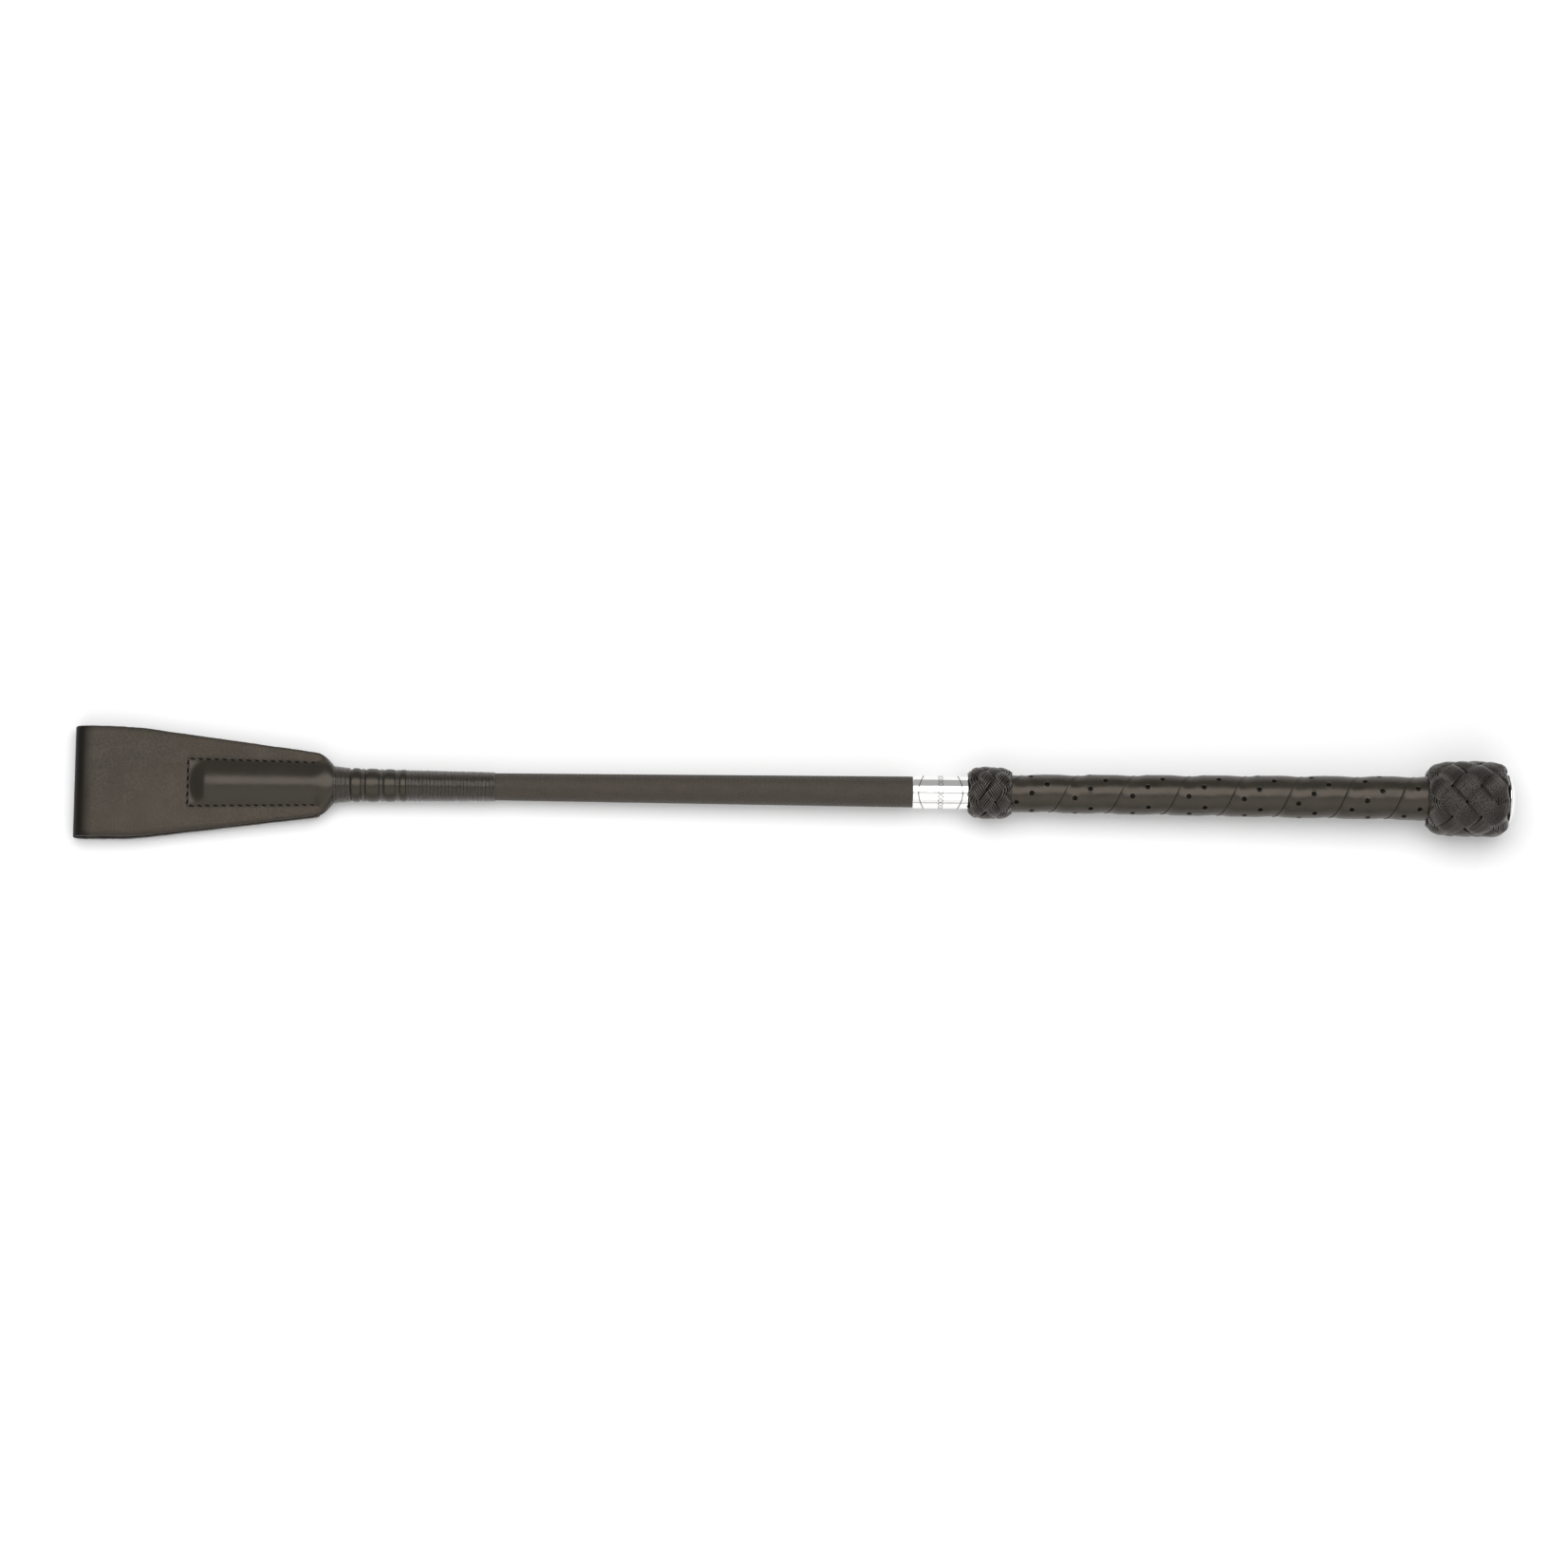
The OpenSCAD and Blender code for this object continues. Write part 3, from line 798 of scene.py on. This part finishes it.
def turks_head(outline, centre_x, column, leads, bights, cords, cord_r, relief, phase, ragged, seed):
    """The cords of a woven knot, as closed tubes on a core whose outer line is outline.

    Leads are the band's columns along the crop, each one column wide. Bights are the turns
    back at each end. Relief is how far the band rises where it passes over itself.
    """
    even, length = meridian(outline)
    middle = min(range(len(even)), key=lambda i: abs(even[i][0] - centre_x))
    middle_w, middle_r = length * middle / (len(even) - 1), even[middle][1]
    lead_angle = math.atan2(pi / bights * middle_r, column)
    strands = math.gcd(leads, bights)
    curve = bpy.data.curves.new("knot", "CURVE")
    curve.dimensions = "3D"
    curve.bevel_depth, curve.bevel_resolution = cord_r, 1
    steps, round_off, crown_drop, softness = leads * 9, 0.975, 0.45 * mm, 0.12
    wander = 0.35 * bights
    for strand in range(strands):
        for cord in range(cords):
            side = cord - (cords - 1) / 2
            along_shift = side * 2.02 * cord_r / sin(lead_angle)
            points = []
            for half in range(2 * bights // strands):
                rises = half % 2 == 0
                for k in range(steps):
                    # along the band from end to end, with its turns back rounded off
                    s = k / steps
                    zig = math.asin(-round_off * cos(pi * s)) / math.asin(round_off)
                    u = leads * (0.5 + 0.5 * zig if rises else 0.5 - 0.5 * zig)
                    q = leads * (s if rises else 1 - s)
                    turn = phase + 2 * pi * strand / bights + pi * leads / bights * (half + s)
                    # over one, under one: the height changes sign at each lead
                    crossing = cos(pi * (q + along_shift / (2 * column)))
                    over = (1 if rises else -1) * crossing / math.sqrt(crossing**2 + softness)
                    fade = smoothed(min(q, leads - q) / 0.5)
                    # the hand's unevenness runs on without a break round the whole knot
                    journey = (turn - phase) * strands / leads - 2 * pi * strand / bights
                    at = Vector((cos(journey) * wander, sin(journey) * wander, seed + 9 * strand))
                    drift = ragged * (noise.noise(at) + 0.3 * noise.noise(at + Vector((0, 0, cord * 2.3))))
                    w = middle_w + (u - leads / 2) * column + along_shift + drift
                    x, r, nx, nr = on_meridian(even, w / length)
                    crown = -crown_drop * (2 * side / cords) ** 2 * (0.4 + 0.6 * max(0, over))
                    lift = relief * over * fade + crown + 0.6 * ragged * noise.noise(at * 1.3)
                    px, pr = x + nx * lift, r + nr * lift
                    points.append((px, pr * sin(turn), pr * cos(turn)))
            spline = curve.splines.new("POLY")
            spline.points.add(len(points) - 1)
            for point, place in zip(spline.points, points):
                point.co = (*place, 1)
            spline.use_cyclic_u = True
    piece = bpy.data.objects.new("knot", curve)
    bpy.context.collection.objects.link(piece)
    pick(piece)
    bpy.ops.object.convert(target="MESH")
    return edited(bpy.context.object, outward)


cordage = Finish(
    "waxed_round_cord", (0.01, 0.009, 0.008), 0.22, Specular_IOR_Level=0.6, Specular_Tint=warm,
    Coat_Weight=0.5, Coat_Roughness=0.08,
)
dust = cordage.noise(2.2, 3)
wax = cordage.noise(0.7, 2)
cordage.set(
    cordage.shader, "Base Color",
    cordage.blend(dust, (0.004, 0.0036, 0.0032), (0.014, 0.0125, 0.0105)),
)
cordage.set(cordage.shader, "Roughness", cordage.range(wax, 0.35, 0.65, 0.16, 0.34))
cordage.bumps((wax, 0.05))

gap_shade = Finish("knot_ground", (0.006, 0.005, 0.004), 0.8, Specular_IOR_Level=0.2)
weft = gap_shade.noise(0.4, 2)
gap_shade.bumps((weft, 0.1))

small_line = [
    (front_knot_x0 + 1.6 * mm, 7.0 * mm), (front_knot_x0 + 0.65 * mm, 7.7 * mm),
    (front_knot_x0 + 0.9 * mm, 8.6 * mm), (front_knot_x0 + 3.2 * mm, 9.6 * mm),
    (front_knot_x0 + 8 * mm, 9.95 * mm), (front_knot_x1 - 6 * mm, 9.9 * mm),
    (front_knot_x1 - 2.4 * mm, 9.2 * mm), (front_knot_x1 - 0.7 * mm, 8.3 * mm),
    (front_knot_x1 - 0.8 * mm, 7.6 * mm), (front_knot_x1 - 1.8 * mm, 7.0 * mm),
]
small_knot = turks_head(
    small_line, centre_x=20.6 * mm, column=3.25 * mm, leads=5, bights=6, cords=6,
    cord_r=0.46 * mm, relief=0.62 * mm, phase=math.radians(-30), ragged=0.5 * mm, seed=3,
)
completed(small_knot, "front_woven_knot", "crop", "knot_cord", cordage.material, "front_knot")

big_line = [
    (butt_x0 + 2.6 * mm, 9.2 * mm), (butt_x0 + 0.9 * mm, 10 * mm),
    (butt_x0 + 0.7 * mm, 11.2 * mm), (butt_x0 + 2.7 * mm, 13.2 * mm),
    (butt_x0 + 7 * mm, 14.5 * mm), (butt_x0 + 14 * mm, 14.95 * mm),
    (butt_x0 + 22 * mm, 14.95 * mm), (butt_x1 - 5.5 * mm, 14.7 * mm),
    (butt_x1 - 2.2 * mm, 13.7 * mm), (butt_x1 - 0.8 * mm, 12 * mm),
    (butt_x1 - 0.55 * mm, 10.4 * mm), (butt_x1 - 1.1 * mm, 9 * mm),
]
big_knot = turks_head(
    big_line, centre_x=(butt_x0 + butt_x1) / 2 - 1.7 * mm, column=5.35 * mm, leads=6, bights=7, cords=10,
    cord_r=0.41 * mm, relief=0.6 * mm, phase=math.radians(-12.2), ragged=0.4 * mm, seed=8,
)
completed(big_knot, "butt_woven_knot", "crop", "knot_cord", cordage.material, "butt_knot")

for name, line, drop, inner_r, last_x in (
    ("front_knot_ground", small_line, 0.9 * mm, 5 * mm, front_knot_x0),
    ("butt_knot_ground", big_line, 0.9 * mm, 1.5 * mm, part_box("end_cap")[0].x + 0.1 * mm),
):
    even, length = meridian(line, 40)
    outer_line = [(x, r - drop) for x, r in even]
    end_x = max(outer_line[-1][0], last_x)
    under = [(end_x, outer_line[-1][1]), (end_x, inner_r), (outer_line[0][0], inner_r)]
    ground = turned(outer_line + under, 72)
    completed(ground, name, "crop", "knot_cord", gap_shade.material, angle=40)


# --- Grip -------------------------------------------------------------------------------
# A strip of smooth black leather, punched with three staggered rows of 2 mm holes, wound
# in a left-handed spiral over the padding. Each turn overlaps the last one's edge.

grip_x0, grip_x1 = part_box("grip_wrap")[0].x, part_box("grip_wrap")[1].x
grip_r0, grip_r1 = 7.6 * mm, 8.95 * mm
pitch = 23.3 * mm
hole_pitch, row_pitch = 14.17 * mm, 4.1 * mm
cell_a, cell_b = hole_pitch / 18, row_pitch / 6
start_x = -12.24 * mm


def grip_r(x):
    t = (x - front_knot_x1) / (butt_x0 - front_knot_x1)
    return grip_r0 + (grip_r1 - grip_r0) * max(0.0, t) ** 0.9


def wrap_lift(share):
    """Height of the strip's face across its width: a lip on the lap, then a soft crown."""
    lip = 0.22 * math.exp(-((share / 0.03) ** 2))
    crown = 0.5 * smoothed(share / 0.3) * (1 - smoothed((share - 0.62) / 0.4))
    tuck = -1.2 * smoothed((share - 1.0) / 0.06)
    return (lip + crown + tuck - 0.25) * mm


def climb(turn):
    """Radius under the strip's middle after a turn, and the strip's slope to the hoop there."""
    r = grip_r(start_x + pitch * turn / (2 * pi) + pitch / 2)
    return r, math.atan(pitch / (2 * pi * r))


# how far round the strip has gone at each column of cells, counted from one known hole
known_column, known_turn = 123, math.radians(617.4)
turn_at = {known_column: known_turn}
last_turn = 2 * pi * ((grip_x1 - start_x) / pitch + 0.05)
column = known_column
while turn_at[column] < last_turn:
    r, slope = climb(turn_at[column])
    turn_at[column + 1] = turn_at[column] + cell_a * cos(slope) / r
    column += 1
columns_a = column
for column in range(known_column, 0, -1):
    r, slope = climb(turn_at[column])
    turn_at[column - 1] = turn_at[column] - cell_a * cos(slope) / r
strip_w = 21.3 * mm
rows_b = int(strip_w / cell_b) + 2
grip = added("grid", x_subdivisions=columns_a, y_subdivisions=rows_b, size=1)
for v in grip.data.vertices:
    v.co = Vector((
        round((v.co.x + 0.5) * columns_a) * cell_a, round((v.co.y + 0.5) * rows_b) * cell_b, 0
    ))

# the holes: a block of cells is made one face, drawn round, rimmed, pushed down and cut out
hole_rows = [7, 13, 19]
hole_centres = []
for row, b in enumerate(hole_rows):
    start = 7 + 8 * row
    hole_centres += [(a, b) for a in range(start, columns_a - 3, 18)]
blocks = {}
for number, (a, b) in enumerate(hole_centres):
    for i in range(a - 2, a + 2):
        for j in range(b - 2, b + 2):
            blocks[i, j] = number
pick(grip)
bpy.ops.object.mode_set(mode="EDIT")
bpy.ops.mesh.select_all(action="DESELECT")
bpy.ops.mesh.select_mode(type="FACE")
bpy.ops.object.mode_set(mode="OBJECT")
for polygon in grip.data.polygons:
    i, j = int(polygon.center.x / cell_a), int(polygon.center.y / cell_b)
    polygon.select = (i, j) in blocks
bpy.ops.object.mode_set(mode="EDIT")
bpy.ops.mesh.dissolve_faces()


def rounded(radius, depth):
    """Insets each selected face, then draws its corners on to a circle at a depth."""
    bpy.ops.mesh.inset(thickness=0.2 * mm, use_individual=True)
    bpy.ops.object.mode_set(mode="OBJECT")
    mesh = grip.data
    for polygon in mesh.polygons:
        if polygon.select:
            spots = [mesh.vertices[i] for i in polygon.vertices]
            centre = sum((v.co for v in spots), Vector()) / len(spots)
            for v in spots:
                away = Vector((v.co.x - centre.x, v.co.y - centre.y, 0)).normalized()
                v.co = Vector((centre.x, centre.y, 0)) + away * radius
                v.co.z = depth
    bpy.ops.object.mode_set(mode="EDIT")


for radius, depth in ((1.3, 0.05), (1.12, 0.07), (0.98, -0.05), (0.92, -0.35), (0.86, -1.0)):
    rounded(radius * mm, depth * mm)
bpy.ops.mesh.delete(type="FACE")
bpy.ops.object.mode_set(mode="OBJECT")

# the flat strip is wound on to the grip, with its lap edge on the seam of the turn before
for v in grip.data.vertices:
    cell = min(max(v.co.x / cell_a, 0.0), columns_a - 0.001)
    at = int(cell)
    turn_c = turn_at[at] + (turn_at[at + 1] - turn_at[at]) * (cell - at)
    r_c, slope = climb(turn_c)
    share, up = v.co.y / strip_w, v.co.z
    across = (share - 0.5) * pitch * cos(slope)
    turn = turn_c - across * sin(slope) / r_c
    x = start_x + pitch * turn_c / (2 * pi) + pitch / 2 + across * cos(slope)
    ripple = 0.07 * mm * noise.noise(Vector((x * 90, sin(turn) * 1.4, cos(turn) * 1.4)))
    r = grip_r(x) + wrap_lift(share) + up + ripple
    x = min(max(x, grip_x0), grip_x1)
    v.co = Vector((x, r * cos(turn), -r * sin(turn)))


def without_ends():
    bpy.ops.mesh.select_all(action="SELECT")
    bpy.ops.mesh.bisect(plane_co=(grip_x0 + 0.05 * mm, 0, 0), plane_no=(-1, 0, 0), clear_outer=True)
    bpy.ops.mesh.select_all(action="SELECT")
    bpy.ops.mesh.bisect(plane_co=(grip_x1 - 0.05 * mm, 0, 0), plane_no=(1, 0, 0), clear_outer=True)


edited(grip, without_ends)
modified(grip, "SOLIDIFY", thickness=0.5 * mm, offset=1)

calf = Finish(
    "punched_grip_leather", (0.02, 0.018, 0.015), 0.36, Specular_IOR_Level=0.5,
    Specular_Tint=warm,
)
soft = calf.noise(7, 3)
skin = calf.cells(0.5)
fine = calf.noise(0.22, 2)
creases = calf.noise(2.4, 3, stretch=(1, 0.35, 0.35))
calf.set(
    calf.shader, "Base Color",
    calf.blend(calf.range(soft, 0.3, 0.7), (0.011, 0.0095, 0.0075), (0.02, 0.017, 0.0125)),
)
calf.set(calf.shader, "Roughness", calf.range(soft, 0.3, 0.7, 0.24, 0.33))
calf.bumps((skin, 0.02), (fine, 0.015), (creases, 0.05))
completed(grip, "grip_strip", "crop", "grip_leather", calf.material, "grip_wrap", angle=60)


# --- End cap ------------------------------------------------------------------------------
# A domed disc of polished metal on a nail, driven into the end of the knob. Its rim is
# rolled under and sits down on the knot's cords.

cap_x0, cap_x1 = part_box("end_cap")[0].x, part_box("end_cap")[1].x
cap_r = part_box("end_cap")[1].y
rim_h = 0.8 * mm
dome = cap_x1 - cap_x0 - rim_h
dome_r = (cap_r**2 + dome**2) / (2 * dome)
cap_line = [(cap_x0, 0.0), (cap_x0, cap_r - 0.5 * mm)]
cap_line += [
    (cap_x0 + 0.4 * mm - 0.4 * mm * cos(a), cap_r - 0.4 * mm + 0.4 * mm * sin(a))
    for a in (pi / 6, pi / 3, pi / 2, 2 * pi / 3, 5 * pi / 6)
]
for i in range(15):
    r = (cap_r - 0.5 * mm) * (1 - i / 14)
    cap_line.append((cap_x1 - dome_r + math.sqrt(dome_r**2 - r**2), r))
cap = turned(cap_line, 96)
completed(cap, "domed_cap", "crop", "polished_metal", nickel.material, "end_cap", angle=40)


# --- Hidden pieces --------------------------------------------------------------------------
# The rod, its tip cap, the lapping, the padding, the cores, the tapes and the nail keep
# their own shapes from the frame, and get the finish of what they are made of.

def plain(name, dark, light, size, roughness, bump, stretch=(1, 1, 1), **sockets):
    finish = Finish(name, light, roughness, **sockets)
    pattern = finish.noise(size, 4, stretch)
    finish.set(finish.shader, "Base Color", finish.blend(pattern, dark, light))
    finish.bumps((pattern, bump))
    return finish.material


hidden = {
    "core_rod": plain(
        "ground_glass_fibre", (0.5, 0.48, 0.36), (0.72, 0.7, 0.58), 0.6, 0.4, 0.05, (0.05, 1, 1)
    ),
    "rod_tip_cap": plain("moulded_tip", (0.01, 0.01, 0.01), (0.03, 0.03, 0.03), 0.8, 0.5, 0.05),
    "shaft_lapping": plain(
        "wound_yarn", (0.012, 0.011, 0.01), (0.035, 0.032, 0.03), 0.6, 0.9, 0.2, (3, 1, 1)
    ),
    "grip_padding": plain("black_foam", (0.005, 0.0045, 0.004), (0.013, 0.0115, 0.0095), 0.5, 0.9, 0.2),
    "grip_end_tapes": plain("cloth_tape", (0.06, 0.055, 0.05), (0.15, 0.14, 0.125), 0.4, 0.85, 0.1),
    "front_knot_core": plain("core_foam", (0.01, 0.01, 0.01), (0.03, 0.03, 0.03), 0.5, 0.9, 0.2),
    "butt_core": plain("turned_beech", (0.35, 0.2, 0.1), (0.55, 0.36, 0.2), 1.5, 0.6, 0.1, (0.1, 1, 1)),
    "cap_nail": plain("nail_wire", (0.45, 0.45, 0.45), (0.6, 0.6, 0.6), 0.5, 0.3, 0.02, Metallic=1.0),
}
for node, material in hidden.items():
    mesh = frame["nodes"][node].data
    mesh.materials.clear()
    mesh.materials.append(material)


# --- Table, light and camera -------------------------------------------------------------------
# The crop lies on a white table that touches the knob and the fold, under two long soft
# boxes with a slit between them, with the camera looking down through the slit.

knob_x, knob_z = (butt_x0 + butt_x1) / 2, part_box("butt_knot")[0].z - 0.2 * mm
rest_x, rest_z = fold_x + fold_r, -fold_r - 0.3 * mm
slope = (knob_z - rest_z) / (knob_x - rest_x)
table = added("plane", size=6)
for v in table.data.vertices:
    v.co.z = knob_z + (v.co.x - knob_x) * slope - 0.1 * mm
table.name = "table"
paper = Finish("white_table", (0.95, 0.95, 0.95), 0.75, Specular_IOR_Level=0.2)
tooth = paper.noise(1.2, 2)
paper.bumps((tooth, 0.02))
table.data.materials.append(paper.material)

length_seen, middle_x, middle_y = 0.65302, -65.1 * mm, 2.7 * mm
distance, elevation = 2.2, math.radians(82)
camera = bpy.data.objects.new("camera", bpy.data.cameras.new("camera"))
bpy.context.collection.objects.link(camera)
camera.data.sensor_width = 36
camera.data.lens = 36 * distance / length_seen
aim = Vector((middle_x, middle_y, 0))
back = Vector((0, -cos(elevation), sin(elevation)))
camera.location = aim + back * distance
camera.rotation_mode = "QUATERNION"
roll = Quaternion((0, 0, 1), math.radians(0.72))
camera.rotation_quaternion = (-back).to_track_quat("-Z", "Y") @ roll
bpy.context.scene.camera = camera


def soft_box(name, near, far, length, strength):
    """A long soft box whose two long edges lie at near and far, given as (y, z)."""
    light = bpy.data.lights.new(name, "AREA")
    light.shape = "RECTANGLE"
    (y0, z0), (y1, z1) = near, far
    light.size, light.size_y = length, math.hypot(y1 - y0, z1 - z0)
    light.energy = strength * light.size * light.size_y * pi
    lamp = bpy.data.objects.new(name, light)
    bpy.context.collection.objects.link(lamp)
    centre = Vector((middle_x, (y0 + y1) / 2, (z0 + z1) / 2))
    lamp.location = centre
    along = Vector((0, y1 - y0, z1 - z0)).normalized()
    out = Vector((1, 0, 0)).cross(along)
    if out.dot(centre - aim) < 0:
        out = -out
    lamp.rotation_mode = "QUATERNION"
    lamp.rotation_quaternion = out.to_track_quat("Z", "Y")
    lamp.visible_camera = False
    return lamp


def polar(angle, radius):
    """A point at an angle from straight up towards the front."""
    a = math.radians(angle)
    return -radius * sin(a), radius * cos(a)


soft_box("back_box", polar(4.4, 1.3), polar(-36, 1.5), 1.6, 2.7)
soft_box("front_box_top", polar(10.8, 1.3), polar(23, 1.35), 1.8, 0.62)
soft_box("front_box_middle", polar(23, 1.35), polar(60, 1.45), 1.8, 0.95)
soft_box("front_box_low", polar(60, 1.45), polar(83, 1.5), 1.8, 0.6)
world = bpy.data.worlds.new("room")
world.use_nodes = True
world.node_tree.nodes["Background"].inputs["Color"].default_value = (0.44, 0.44, 0.44, 1)
bpy.context.scene.world = world
bpy.context.scene.view_settings.view_transform = "Standard"
